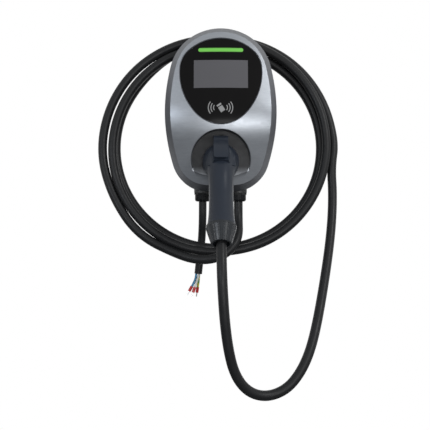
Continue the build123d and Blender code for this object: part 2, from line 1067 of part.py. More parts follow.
def make_gland_nut(x, cable_radius):
    top = cover_bottom - gland_flange - seat_gap
    bottom = top - gland_nut_height
    cap = upright_rod(x, gland_depth, gland_nut_radius, bottom, top)
    cap = fillet(cap.faces().sort_by(Axis.Z)[0].edges(), gland_nut_round)
    for place in range(gland_nut_flats):
        angle = 360 * place / gland_nut_flats
        reach = gland_nut_radius + gland_nut_round - gland_flat_depth
        notch = (
            Pos(x, -gland_depth, bottom) * Rot(0, 0, angle) * Pos(reach, 0)
            * extrude(Circle(gland_nut_round), amount=gland_nut_height)
        )
        cap = cap - notch
    cavity = upright_rod(
        x, gland_depth, gland_stub_radius + running_gap, bottom + gland_nut_wall, top + seat_gap
    )
    bore = upright_rod(
        x, gland_depth, cable_radius + seat_gap, bottom - seat_gap, top + seat_gap
    )
    return cap - cavity - bore


def make_gland_seal(x, cable_radius):
    top = cover_bottom - gland_flange - gland_stub
    bottom = cover_bottom - gland_flange - seat_gap - gland_nut_height + gland_nut_wall
    ring = upright_rod(x, gland_depth, gland_stub_radius - seat_gap, bottom, top)
    return ring - upright_rod(x, gland_depth, cable_radius + cord_gap, bottom, top)


def make_locknut(x):
    low = cover_bottom + gland_pad_height
    nut = Pos(x, -gland_depth, low) * extrude(
        RegularPolygon(locknut_hex / 2, 6, major_radius=False), amount=locknut_height
    )
    return nut - upright_rod(
        x, gland_depth, gland_thread_radius + running_gap, low, low + locknut_height
    )


# Cables outside the box. Each route is a list of points: x, depth and height.

sheath_top = cover_bottom + sheath_inside

drop_route = (
    (32.0, 59.0, -124.0), (32.0, 59.0, -157.0), (32.0, 60.2, -188.5), (32.0, 82.9, -221.3),
    (17.6, 95.1, -243.5), (-6.6, 100.0, -257.5), (-36.3, 95.5, -261.2), (-61.0, 86.0, -253.0),
)
loop_route = (
    (201.0, 50.0, -96.0), (203.0, 54.0, -140.0), (198.0, 70.0, -188.0), (188.0, 92.0, -236.0),
    (175.0, 118.0, -284.0), (161.0, 145.0, -330.0), (149.0, 168.0, -370.0),
    (137.0, 186.0, -402.0), (123.0, 199.0, -430.0), (104.0, 210.0, -453.0),
    (79.0, 218.0, -464.0), (53.0, 226.0, -461.0), (32.0, 234.0, -445.0), (18.0, 241.0, -419.0),
    (10.0, 247.0, -384.0), (5.0, 251.0, -345.0), (2.0, 253.0, -302.0),
)
supply_route = (
    (-32.0, 59.0, -124.0), (-32.0, 59.0, -157.0), (-32.2, 57.5, -190.0),
    (-33.6, 46.5, -222.0), (-37.0, 44.5, -256.0), (-40.5, 44.5, -289.0),
)
core_bends = ((-45.8, 45.0, -301.0), (-42.5, 48.5, -301.0), (-39.7, 42.0, -302.0))
core_ends = ((-52.0, 45.5, -312.0), (-46.5, 50.5, -313.0), (-41.5, 40.5, -314.0))


def route_points(route):
    return [Vector(x, -depth, z) for x, depth, z in route]


def route_radii(points):
    """Each arc is as large as its two runs allow."""
    radii = []
    for before, here, after in zip(points, points[1:], points[2:]):
        turn = radians((here - before).get_angle(after - here))
        shorter = min((here - before).length, (after - here).length)
        radii.append(arc_share * shorter / tan(turn / 2))
    return radii


def cord(name, route, radius, extra=None):
    points = route_points(route)
    if extra:
        points = points + extra
    radii = route_radii(points)
    print(name, "radii", [round(value) for value in radii])
    made = tube(points, radii, radius)
    length = made.volume / Circle(radius).area
    print(name, "length", round(length))
    return made


def make_cable_coil():
    section = Pos(coil_radius, 0) * RectangleRounded(
        2 * coil_half_radial, 2 * coil_half_depth, coil_corner
    )
    ring = revolve(Plane.XY * section, Axis.Y, 360)
    return Pos(coil_x, -coil_depth, coil_level) * Rot(-coil_lean, 0, 0) * ring


def core_starts():
    """Where the cores leave the sheath, and the way that they point there."""
    before, end = route_points(supply_route)[-2:]
    way = (end - before).normalized()
    plane = Plane(origin=end, x_dir=(1, 0, 0), z_dir=way)
    starts = []
    for angle in supply_core_angles:
        across = supply_core_circle * cos(radians(angle))
        up = supply_core_circle * sin(radians(angle))
        starts.append((plane.from_local_coords(Vector(across, up, 0)), way))
    return starts


def core_ways():
    ends = route_points(core_ends)
    bends = route_points(core_bends)
    return [(end, (end - bend).normalized()) for bend, end in zip(bends, ends)]


def make_supply_cores():
    made = []
    bends = route_points(core_bends)
    ends = route_points(core_ends)
    for (start, way), bend, end in zip(core_starts(), bends, ends):
        points = [start, start + way * core_lead, bend, end]
        made.append(tube(points, route_radii(points), supply_core_radius))
    return made


def make_ferrule_collars():
    made = []
    for end, way in core_ways():
        plane = Plane(origin=end, z_dir=way)
        made.append(
            extrude(plane * Circle(collar_radius), amount=collar_length)
        )
    return made


def make_ferrule_tips():
    return [
        extrude(Plane(origin=end + way * collar_length, z_dir=way) * Circle(tip_radius),
                amount=tip_length)
        for end, way in core_ways()
    ]


def make_inner_wires(x, count, shift, circle, radius):
    """Wires from a sheath's end to the feet of a terminal block."""
    made = []
    foot = terminal_level - terminal_height / 2
    for place, end_x in enumerate(terminal_places(count, shift)):
        share = place / (count - 1)
        start_x = x + circle * (2 * share - 1)
        side = circle / 2 if place % 2 else -circle / 2
        start_y = -gland_depth - side
        points = [
            (start_x, start_y, sheath_top),
            (start_x, start_y, sheath_top + inner_wire_rise),
            (end_x, -wire_level_depth, foot - inner_wire_back),
            (end_x, -wire_level_depth, foot),
        ]
        made.append(tube(points, inner_wire_bend, radius))
    return made


# Plug: its centre line leaves the collar, bends down and follows the grip

def plug_frame(along):
    """Plane square to the plug's centre line. Its local y points to the outer side."""
    start_angle = dish_tilt
    turned = radians(grip_lean - start_angle)
    bend_length = bend_radius * turned
    origin = socket_plane.offset(seat_gap).origin
    reach, drop, angle = -origin.Y, origin.Z, start_angle
    straight = min(along, head_length)
    reach += straight * cos(radians(start_angle))
    drop -= straight * sin(radians(start_angle))
    if along > head_length:
        curved = min(along - head_length, bend_length)
        angle = start_angle + degrees(curved / bend_radius)
        reach += bend_radius * (sin(radians(angle)) - sin(radians(start_angle)))
        drop -= bend_radius * (cos(radians(start_angle)) - cos(radians(angle)))
    rest = along - head_length - bend_length
    if rest > 0:
        reach += rest * cos(radians(grip_lean))
        drop -= rest * sin(radians(grip_lean))
    way = (0, -cos(radians(angle)), -sin(radians(angle)))
    return Plane(origin=(0, -reach, drop), x_dir=(1, 0, 0), z_dir=way)


bend_length = bend_radius * radians(grip_lean - dish_tilt)
bend_end = head_length + bend_length
shell_end = bend_end + grip_length


def plug_stations():
    """Distance along the centre line, width and height of each section of the handle."""
    return (
        (0, 2 * collar_face_radius, 2 * collar_face_radius),
        (head_length, 2 * collar_face_radius, 2 * collar_face_radius),
        (head_length + bend_length / 2, bend_width, bend_height),
        (bend_end, throat_width, throat_height),
        (bend_end + grip_length * waist_start_share, waist_width, waist_height),
        (bend_end + grip_length * waist_end_share, waist_width, waist_height),
        (bend_end + grip_length * flare_share, flare_width, flare_height),
        (shell_end, butt_width, butt_height),
    )


def handle_form(inset):
    """The handle's outer form, or the hollow inside it where the inset is its wall."""
    stations = plug_stations()
    head = [
        plug_frame(along) * Ellipse(width / 2 - inset, height / 2 - inset)
        for along, width, height in stations[:2]
    ]
    rest = [
        plug_frame(along) * Ellipse(width / 2 - inset, height / 2 - inset)
        for along, width, height in stations[1:]
    ]
    return loft(head) + loft(rest)


ridge_stations = (
    (0, collar_face_radius, ridge_high),
    (head_length, collar_face_radius, ridge_high),
    (head_length + bend_length / 2, bend_height / 2, ridge_mid),
    (head_length + bend_length * lever_reach_share, throat_height / 2 + ridge_low_swell,
     ridge_low),
)


def ridge_section(plane, half_height, rise):
    top = half_height + rise
    root = half_height - ridge_root
    half = ridge_width / 2
    foot = half + ridge_spread
    middle = Vector(half + ridge_spread / 4, root + (top - root) * ridge_middle_share)
    right = ThreePointArc((foot, root), middle, (half, top))
    left = ThreePointArc((-half, top), mirrored(middle), (-foot, root))
    face = make_face(
        Curve() + [right, Line((half, top), (-half, top)), left, Line((-foot, root), (foot, root))]
    )
    return plane * face


def make_ridge():
    sections = [
        ridge_section(plug_frame(along), half_height, rise)
        for along, half_height, rise in ridge_stations
    ]
    return loft(sections[:2]) + loft(sections[1:])


def beside_path(along, height):
    """A point of the plug's middle plane at a height above its centre line."""
    return plug_frame(along).from_local_coords(Vector(0, height, 0))


def lever_points():
    halves = [station[1] for station in ridge_stations]
    along = [station[0] for station in ridge_stations]
    outer = [
        beside_path(along[0], halves[0] + lever_high),
        beside_path(along[1], halves[1] + lever_high),
        beside_path(along[2], halves[2] + lever_mid),
        beside_path(along[3], halves[3] + lever_low),
    ]
    inner = [
        beside_path(along[0], halves[0] + ridge_high + lever_gap),
        beside_path(along[1], halves[1] + ridge_high + lever_gap),
        beside_path(along[2], halves[2] + ridge_mid + lever_mid_gap),
        beside_path(along[3], halves[3] + ridge_low + lever_lip_gap),
    ]
    return outer, inner


def in_middle_plane(point):
    return (point.Y, point.Z)


pivot = plug_frame(pivot_along).from_local_coords(Vector(0, pivot_height, 0))


def make_latch_lever():
    outer, inner = lever_points()
    outer = [in_middle_plane(point) for point in outer]
    inner = [in_middle_plane(point) for point in inner]
    profile = make_face(
        Curve() + [
            Spline(*outer), Line(outer[-1], inner[-1]), Spline(*reversed(inner)),
            Line(inner[0], outer[0]),
        ]
    )
    cap = extrude(Plane.YZ * profile, amount=ridge_width / 2, both=True)
    top = outer[0][1]
    low = min(outer[-1][1], inner[-1][1])
    plan = Pos(0, (top + low) / 2) * Rectangle(ridge_width, top - low)
    plan = fillet(plan.vertices().group_by(Axis.Y)[-1], lever_top_round)
    plan = fillet(plan.vertices().group_by(Axis.Y)[0], lever_lip_round)
    cap = cap & slab(plan, 0, 2 * brow_depth)
    arm_back = dish_floor + seat_gap + lever_nib_length + seat_gap
    arm = extrude(
        socket_plane.offset(-arm_back) * Pos(0, arm_centre_rise)
        * Rectangle(lever_arm_width, lever_arm_thickness),
        amount=arm_back + head_length / 2,
    )
    nib = extrude(
        socket_plane.offset(-arm_back)
        * Pos(0, arm_centre_rise - lever_nib_drop / 2)
        * Rectangle(lever_arm_width, lever_nib_drop + lever_arm_thickness),
        amount=lever_nib_length,
    )
    lug_disc = extrude(
        Plane(origin=pivot, z_dir=(1, 0, 0)) * Circle(lug_radius), amount=lug_width / 2, both=True
    )
    web_plane = plug_frame(pivot_along)
    web_top = collar_face_radius + ridge_high + lever_gap + lever_arm_thickness / 2
    web = extrude(
        web_plane * Pos(0, (pivot_height + web_top) / 2)
        * Rectangle(lug_width, web_top - pivot_height),
        amount=lug_radius, both=True,
    )
    pin_hole = extrude(
        Plane(origin=pivot, z_dir=(1, 0, 0)) * Circle(pin_radius + running_gap),
        amount=ridge_width, both=True,
    )
    return cap + arm + nib + lug_disc + web - pin_hole


def make_lever_pin():
    return extrude(
        Plane(origin=pivot, z_dir=(1, 0, 0)) * Circle(pin_radius), amount=pin_length / 2, both=True
    )


spring_plane = plug_frame(head_length + bend_length / 2)
spring_top = bend_height / 2 + ridge_mid + lever_mid_gap - 2 * seat_gap
spring_floor = spring_top - spring_length


def make_lever_spring():
    rise = spring_top - spring_floor - 2 * spring_wire
    helix = Helix(pitch=rise / spring_turns, height=rise, radius=spring_radius)
    start = Plane(origin=helix @ 0, z_dir=helix % 0)
    coil = sweep(start * Circle(spring_wire), path=helix)
    base = Plane(
        origin=spring_plane.from_local_coords(Vector(0, spring_floor + spring_wire, 0)),
        x_dir=(1, 0, 0),
        z_dir=spring_plane.y_dir,
    )
    return base.location * coil


def middle_surface_form():
    """Everything on the outer side of the plug's centre line."""
    end = shell_end + stub_length + cut_over
    start = in_middle_plane(plug_frame(0).offset(-cut_over).origin)
    head_end = in_middle_plane(plug_frame(head_length).origin)
    mid = in_middle_plane(plug_frame(head_length + bend_length / 2).origin)
    curve_end = in_middle_plane(plug_frame(bend_end).origin)
    last = in_middle_plane(plug_frame(end).origin)
    far = 4 * collar_face_radius
    top_start = in_middle_plane(plug_frame(0).offset(-cut_over).from_local_coords((0, far, 0)))
    top_last = in_middle_plane(plug_frame(end).from_local_coords((0, far, 0)))
    outline = Curve() + [
        Line(start, head_end),
        ThreePointArc(head_end, mid, curve_end),
        Line(curve_end, last),
        Polyline(last, top_last, top_start, start),
    ]
    return extrude(Plane.YZ * make_face(outline), amount=2 * collar_face_radius, both=True)


def plug_boss_stations():
    return [bend_end + grip_length * share for share in plug_boss_shares]


def make_plug_shells():
    outer_form = handle_form(0)
    hollow_form = handle_form(plug_wall)
    front_wall = extrude(
        plug_frame(0).offset(-cut_over) * Circle(2 * collar_face_radius),
        amount=cut_over + plug_wall,
    )
    end_frame = plug_frame(shell_end)
    end_wall = extrude(
        end_frame.offset(-plug_wall) * Circle(2 * collar_face_radius), amount=cut_over
    )
    hollow = hollow_form - front_wall - end_wall
    ridge = make_ridge()
    stub = extrude(end_frame.offset(-plug_wall) * Circle(stub_radius), amount=stub_length + plug_wall)
    bosses = []
    for along in plug_boss_stations():
        for side in (-1, 1):
            column = extrude(
                Plane(
                    origin=plug_frame(along).from_local_coords(Vector(side * plug_boss_x, 0, 0)),
                    x_dir=(1, 0, 0),
                    z_dir=plug_frame(along).y_dir,
                ) * Circle(plug_boss_radius),
                amount=collar_face_radius, both=True,
            )
            bosses.append(column)
    body = outer_form + ridge + stub - hollow
    for column in bosses:
        body = body + (column & outer_form)
    body = body - extrude(
        plug_frame(0).offset(-cut_over) * Circle(nose_radius + running_gap),
        amount=cut_over + plug_wall + seat_gap,
    )
    body = body - extrude(
        end_frame.offset(-plug_wall - seat_gap) * Circle(stub_bore),
        amount=stub_length + cut_over,
    )
    slot_width = lug_width + 2 * lug_gap
    slot_length = 2 * lug_radius + 4 * lug_gap
    slot_low = pivot_height - lug_radius - lug_gap
    slot_high = collar_face_radius + ridge_high + cut_over
    body = body - extrude(
        plug_frame(pivot_along) * Pos(0, (slot_low + slot_high) / 2)
        * Rectangle(slot_width, slot_high - slot_low),
        amount=slot_length / 2, both=True,
    )
    body = body - extrude(
        Plane(origin=pivot, z_dir=(1, 0, 0)) * Circle(pin_radius + running_gap),
        amount=ridge_width, both=True,
    )
    spring_well = extrude(
        Plane(
            origin=spring_plane.from_local_coords(Vector(0, spring_floor, 0)),
            x_dir=(1, 0, 0), z_dir=spring_plane.y_dir,
        ) * Circle(spring_radius + 2 * spring_wire),
        amount=cut_over,
    )
    body = body - spring_well
    upper_side = middle_surface_form()
    outer_half = body & upper_side
    inner_half = body - upper_side
    for along in plug_boss_stations():
        for side in (-1, 1):
            foot = plug_frame(along).from_local_coords(Vector(side * plug_boss_x, 0, 0))
            up = plug_frame(along).y_dir
            plane = Plane(origin=foot, x_dir=(1, 0, 0), z_dir=up)
            outer_half = outer_half - extrude(
                plane * Circle(m3_radius + thread_gap), amount=plug_screw_bite + seat_gap
            )
            inner_half = inner_half - extrude(
                plane.offset(-cut_over) * Circle(m3_radius + hole_gap), amount=cut_over
            )
            inner_half = inner_half - extrude(
                plane.offset(-plug_screw_sink) * Circle(m3_head_radius + hole_gap),
                amount=-cut_over,
            )
    return outer_half, inner_half


def biggest(shape):
    return shape.solids().sort_by(SortBy.VOLUME)[-1]


def make_plug_screws():
    made = []
    for along in plug_boss_stations():
        for side in (-1, 1):
            frame = plug_frame(along)
            seat = frame.from_local_coords(Vector(side * plug_boss_x, -plug_screw_sink, 0))
            plane = Plane(origin=seat, x_dir=(1, 0, 0), z_dir=frame.y_dir * -1)
            made.append(
                screw(plane, m3_radius, m3_head_radius, m3_head_height,
                      plug_screw_sink + plug_screw_bite)
            )
    return made


def contact_radius(place):
    return power_contact_radius if place < power_contacts else signal_contact_radius


def make_plug_nose():
    front = socket_plane.offset(seat_gap)
    body = extrude(front.offset(-nose_length) * Circle(nose_radius), amount=nose_length + plug_wall)
    body = chamfer(body.faces().sort_by(Axis.Y)[-1].edges(), nose_edge)
    flange = extrude(
        front.offset(plug_wall + running_gap) * Circle(nose_flange_radius), amount=nose_flange
    )
    link = extrude(front.offset(plug_wall) * Circle(nose_radius), amount=running_gap)
    body = body + link + flange
    for place, (x_share, y_share) in enumerate(contact_place_shares):
        centre = Pos(x_share * nose_radius, y_share * nose_radius)
        body = body - extrude(
            front.offset(-nose_length) * centre * Circle(contact_radius(place) + running_gap),
            amount=contact_depth,
        )
    return body


def make_contact_sleeves():
    front = socket_plane.offset(seat_gap)
    made = []
    for place, (x_share, y_share) in enumerate(contact_place_shares):
        centre = Pos(x_share * nose_radius, y_share * nose_radius)
        start = front.offset(-nose_length + contact_mouth)
        length = contact_depth - contact_mouth
        sleeve = extrude(start * centre * Circle(contact_radius(place)), amount=length)
        bore = extrude(
            start * centre * Circle(contact_radius(place) - contact_wall),
            amount=length - 2 * contact_wall,
        )
        made.append(sleeve - bore)
    return made


def make_plug_wires():
    """Wires that follow the handle's hollow from the nose to the end of the cable."""
    made = []
    start = plug_wall + running_gap + nose_flange
    end = shell_end + stub_length - bush_tail
    half_turn = radians(grip_lean - dish_tilt) / 2
    corner = plug_frame(head_length).offset(bend_radius * tan(half_turn)).origin
    corner_way = Vector(0, -sin(radians(dish_tilt) + half_turn), cos(radians(dish_tilt) + half_turn))
    for place in range(charge_core_count):
        angle = radians(90 + 360 / charge_core_count * place)
        across = inner_wire_circle * cos(angle)
        height = inner_wire_circle * sin(angle)
        points = [
            plug_frame(start).from_local_coords(Vector(across, height, 0)),
            corner + corner_way * (height / cos(half_turn)) + Vector(across, 0, 0),
            plug_frame(end).from_local_coords(Vector(across, height, 0)),
        ]
        made.append(tube(points, bend_radius + height, inner_wire_radius))
    return made


def make_strain_relief_nut():
    frame = plug_frame(shell_end)
    start = running_gap
    profile = Polyline(
        (stub_radius + running_gap, start), (nut_start_radius, start),
        (nut_start_radius, start + nut_lead), (nut_end_radius, nut_length),
        (nut_bore_radius, nut_length), (nut_bore_radius, stub_length + bush_flange + seat_gap),
        (stub_radius + running_gap, stub_length + bush_flange + seat_gap), close=True,
    )
    body = revolve(Plane.XZ * make_face(profile), Axis.Z, 360)
    slope = atan2(nut_start_radius - nut_end_radius, nut_length - nut_lead)
    for place in range(nut_flutes):
        flute = (
            Rot(0, 0, 360 * place / nut_flutes)
            * Pos(nut_start_radius + nut_flute_radius - nut_flute_sink, 0, start + nut_lead)
            * Rot(0, -degrees(slope), 0)
            * extrude(Circle(nut_flute_radius), amount=2 * nut_length)
        )
        body = body - flute
    return frame.location * biggest(body)


def make_cable_bush():
    frame = plug_frame(shell_end)
    bore = charge_radius + cord_gap
    tip = nut_length - bush_set_back
    profile = Polyline(
        (bore, stub_length - bush_tail), (bush_radius, stub_length - bush_tail),
        (bush_radius, stub_length), (bush_flange_radius, stub_length),
        (bush_flange_radius, stub_length + bush_flange),
        (bush_radius, stub_length + bush_flange), (bush_tip_radius, tip), (bore, tip), close=True,
    )
    return frame.location * revolve(Plane.XZ * make_face(profile), Axis.Z, 360)


def loop_end_points():
    """The cable's last run, straight into the bush."""
    return [
        plug_frame(shell_end + nut_length + cable_straight).origin,
        plug_frame(shell_end + stub_length - bush_tail).origin,
    ]


# Build and write every node

outer_cover = cover_block(0)
save("wall_bracket", make_wall_bracket())
save("bracket_screws", make_bracket_screws())
save("rear_housing", make_rear_housing())
save("cover_seal", make_cover_seal())
save("front_cover", make_front_cover(outer_cover))
save("cover_screws", make_cover_screws())
save("display_panel", make_display_panel())
save("light_bar", make_light_bar())
save("main_board", make_main_board())
save("main_board_screws", make_main_board_screws())
save("relays", make_relays())
save("power_supply", make_power_supply())
save("capacitors", make_capacitors())
save("input_terminals", make_terminals(supply_core_count, input_shift))
save("output_terminals", make_terminals(charge_core_count, output_shift))
save("current_sensor", make_current_sensor())
save("sensor_wires", make_sensor_wires())
save("earth_bar", make_earth_bar())
save("control_board", make_control_board())
save("control_board_screws", make_control_board_screws())
save("lcd_module", make_lcd_module())
save("led_strip", make_led_strip())
save("antenna_board", make_antenna_board())
save("holster_socket", make_holster_socket())
save("holster_screws", make_holster_screws())
for side_name, side, cable_radius in (("supply", -1, supply_radius), ("charge", 1, charge_radius)):
    save(f"{side_name}_gland_body", make_gland_body(side * gland_x, cable_radius))
    save(f"{side_name}_gland_nut", make_gland_nut(side * gland_x, cable_radius))
    save(f"{side_name}_gland_seal", make_gland_seal(side * gland_x, cable_radius))
save("gland_locknuts", [make_locknut(side * gland_x) for side in (-1, 1)])
save("supply_wires", make_inner_wires(
    -gland_x, supply_core_count, input_shift, supply_core_circle, supply_core_radius
))
save("charge_wires", make_inner_wires(
    gland_x, charge_core_count, output_shift, inner_wire_circle, inner_wire_radius
))
save("supply_cable", cord("supply_cable", supply_route, supply_radius))
save("supply_cores", make_supply_cores())
save("ferrule_collars", make_ferrule_collars())
save("ferrule_tips", make_ferrule_tips())
save("cable_drop", cord("cable_drop", drop_route, charge_radius))
save("cable_coil", make_cable_coil())
save("cable_loop", cord("cable_loop", loop_route, charge_radius, loop_end_points()))
shell_outer, shell_inner = make_plug_shells()
save("plug_shell_outer", biggest(shell_outer))
save("plug_shell_inner", biggest(shell_inner))
save("latch_lever", make_latch_lever())
save("lever_pin", make_lever_pin())
save("lever_spring", make_lever_spring())
save("plug_nose", make_plug_nose())
save("contact_sleeves", make_contact_sleeves())
save("plug_wires", make_plug_wires())
save("plug_screws", make_plug_screws())
save("strain_relief_nut", make_strain_relief_nut())
save("cable_bush", make_cable_bush())
print("pivot", pivot)
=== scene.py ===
import bpy
from math import cos, pi, radians, sin
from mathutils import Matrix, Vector


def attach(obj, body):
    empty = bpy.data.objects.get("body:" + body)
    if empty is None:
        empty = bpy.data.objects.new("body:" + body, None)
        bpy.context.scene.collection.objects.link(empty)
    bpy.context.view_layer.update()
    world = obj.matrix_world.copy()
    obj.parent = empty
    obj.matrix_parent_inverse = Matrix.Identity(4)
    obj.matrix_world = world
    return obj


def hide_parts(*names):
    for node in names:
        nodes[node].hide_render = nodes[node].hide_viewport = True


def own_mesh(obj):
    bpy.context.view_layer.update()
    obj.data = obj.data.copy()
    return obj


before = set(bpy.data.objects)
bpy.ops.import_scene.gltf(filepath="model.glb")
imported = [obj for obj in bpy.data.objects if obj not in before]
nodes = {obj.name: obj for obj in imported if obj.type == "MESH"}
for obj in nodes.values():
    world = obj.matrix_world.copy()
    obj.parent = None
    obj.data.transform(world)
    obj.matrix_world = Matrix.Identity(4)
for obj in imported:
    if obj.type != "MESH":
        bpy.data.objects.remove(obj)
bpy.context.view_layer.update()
MM = 0.001


# Camera, at the photograph's angle

photo_pixels = 430
focal_pixels = 652
sensor_width = 36.0
nearest_seen = 0.01

camera_data = bpy.data.cameras.new("camera")
camera = bpy.data.objects.new("camera", camera_data)
bpy.context.collection.objects.link(camera)
camera.location = (-0.0099, -1.234, -0.182)
camera.rotation_euler = (radians(90), 0, 0)
camera_data.sensor_fit = "HORIZONTAL"
camera_data.sensor_width = sensor_width
camera_data.lens = sensor_width * focal_pixels / photo_pixels
camera_data.clip_start = nearest_seen
bpy.context.scene.camera = camera


# Cords: the construction's points in millimetres, as x, depth and height, with the loop's
# lower right side and the winding moved a little, towards the photograph

cable_diameter = 16.0
supply_diameter = 14.0
core_diameter = 4.2

drop_route = [
    (32.0, 59.0, -124.0), (32.0, 59.0, -157.0), (32.0, 60.2, -188.5), (32.0, 82.9, -221.3),
    (17.6, 95.1, -243.5), (-6.6, 100.0, -257.5), (-36.3, 95.5, -261.2),
]
loop_route = [
    (201.0, 50.0, -96.0), (203.0, 54.0, -140.0), (199.0, 70.0, -188.0), (190.5, 92.0, -236.0),
    (179.0, 118.0, -284.0), (166.5, 145.0, -330.0), (154.5, 168.0, -370.0),
    (142.5, 186.0, -402.0), (127.0, 199.0, -430.0), (106.0, 210.0, -453.0),
    (79.0, 218.0, -464.0), (53.0, 226.0, -461.0), (32.0, 234.0, -445.0), (18.0, 241.0, -419.0),
    (10.0, 247.0, -384.0), (5.0, 251.0, -345.0), (2.0, 253.0, -302.0),
]
plug_end = [(0.0, 248.6, -257.1), (0.0, 218.1, -204.3)]
supply_route = [
    (-32.0, 59.0, -124.0), (-32.0, 59.0, -157.0), (-32.2, 57.5, -190.0),
    (-33.6, 46.5, -222.0), (-37.0, 44.5, -256.0), (-40.5, 44.5, -289.0),
]

coil_x = -3.5
coil_level = -58.0
coil_depth = 46.0
coil_lean = radians(7.62)
points_a_turn = 16
# Turning angle from the right, distance from the coil's centre, and distance to the front
winding = [
    (251, 206.5, 13), (228.5, 212.5, 7), (206, 208, 4), (183.5, 211, 2), (135, 209.5, 4),
    (90, 201.5, 8), (45, 199, 8), (0, 195, 8), (-30, 192.5, 8), (-60, 192.5, 8), (-90, 190.5, 8),
    (-112, 194.5, 8), (-135, 194.5, 8), (-150, 193.5, 8), (-165, 193, 8), (-180, 191.5, 8),
    (-205, 190, 8), (-225, 189.8, 8), (-250, 189.5, 7), (-270, 186, 3), (-295, 187, -3),
    (-315, 187.5, -5), (-360, 186.5, -6.5), (-390, 185.5, -7), (-420, 183.5, -7.5),
    (-450, 184, -8), (-495, 184.5, -8), (-540, 187.5, -8), (-585, 188.5, -8), (-610, 198, -8),
    (-630, 207, -8), (-655, 211, -8), (-675, 211, -7), (-700, 209.5, -5), (-718, 209, -3),
]


def along_winding(angle):
    """Distance from the centre and distance to the front, between two rows of the table."""
    for (angle_a, radius_a, front_a), (angle_b, radius_b, front_b) in zip(winding, winding[1:]):
        if angle_a >= angle >= angle_b:
            share = (angle_a - angle) / (angle_a - angle_b)
            return radius_a + (radius_b - radius_a) * share, front_a + (front_b - front_a) * share
    return winding[-1][1:]


def coil_points():
    step = 360 / points_a_turn
    outward = 1 / cos(radians(step / 2))
    points = []
    angle = winding[0][0]
    while angle > winding[-1][0]:
        radius, front = along_winding(angle)
        radius *= outward
        up = radius * sin(radians(angle))
        across = radius * cos(radians(angle))
        depth = coil_depth - up * sin(coil_lean) + front * cos(coil_lean)
        level = coil_level + up * cos(coil_lean) + front * sin(coil_lean)
        points.append((coil_x + across, depth, level))
        angle -= step
    return points


def spline_object(name, points, diameter, steps_along=12, steps_round=8):
    data = bpy.data.curves.new(name, "CURVE")
    data.dimensions = "3D"
    data.bevel_depth = diameter * MM / 2
    data.bevel_resolution = steps_round
    data.resolution_u = steps_along
    data.use_fill_caps = True
    spline = data.splines.new("NURBS")
    spline.points.add(len(points) - 1)
    for point, (x, depth, z) in zip(spline.points, points):
        point.co = (x * MM, -depth * MM, z * MM, 1.0)
    spline.order_u = 3
    spline.use_endpoint_u = True
    piece = bpy.data.objects.new(name, data)
    bpy.context.collection.objects.link(piece)
    return piece


charging_cable = spline_object(
    "charging_cable", drop_route + coil_points() + loop_route + plug_end, cable_diameter
)
supply_lead = spline_object("supply_lead", supply_route, supply_diameter)


# Material building blocks

WHITE = (1.0, 1.0, 1.0)
OFF_TO_ON = (0.0, 1.0)
ON_TO_OFF = (1.0, 0.0)
NOISE_RANGE = (0.3, 0.7)


def connect(tree, value, socket):
    """Links a socket to another, or writes a plain value into it."""
    if isinstance(value, bpy.types.NodeSocket):
        tree.links.new(value, socket)
    else:
        socket.default_value = value


def maths_node(tree, operation, *values):
    node = tree.nodes.new("ShaderNodeMath")
    node.operation = operation
    for value, socket in zip(values, node.inputs):
        connect(tree, value, socket)
    return node.outputs[0]


def direct_ray(tree):
    """1 for what the camera sees, straight, in a reflection or through glass."""
    rays = tree.nodes.new("ShaderNodeLightPath").outputs
    seen = maths_node(tree, "MAXIMUM", rays["Is Camera Ray"], rays["Is Transmission Ray"])
    return maths_node(tree, "MAXIMUM", seen, rays["Is Glossy Ray"])


def shade(colour, factor):
    return tuple(part * factor for part in colour)


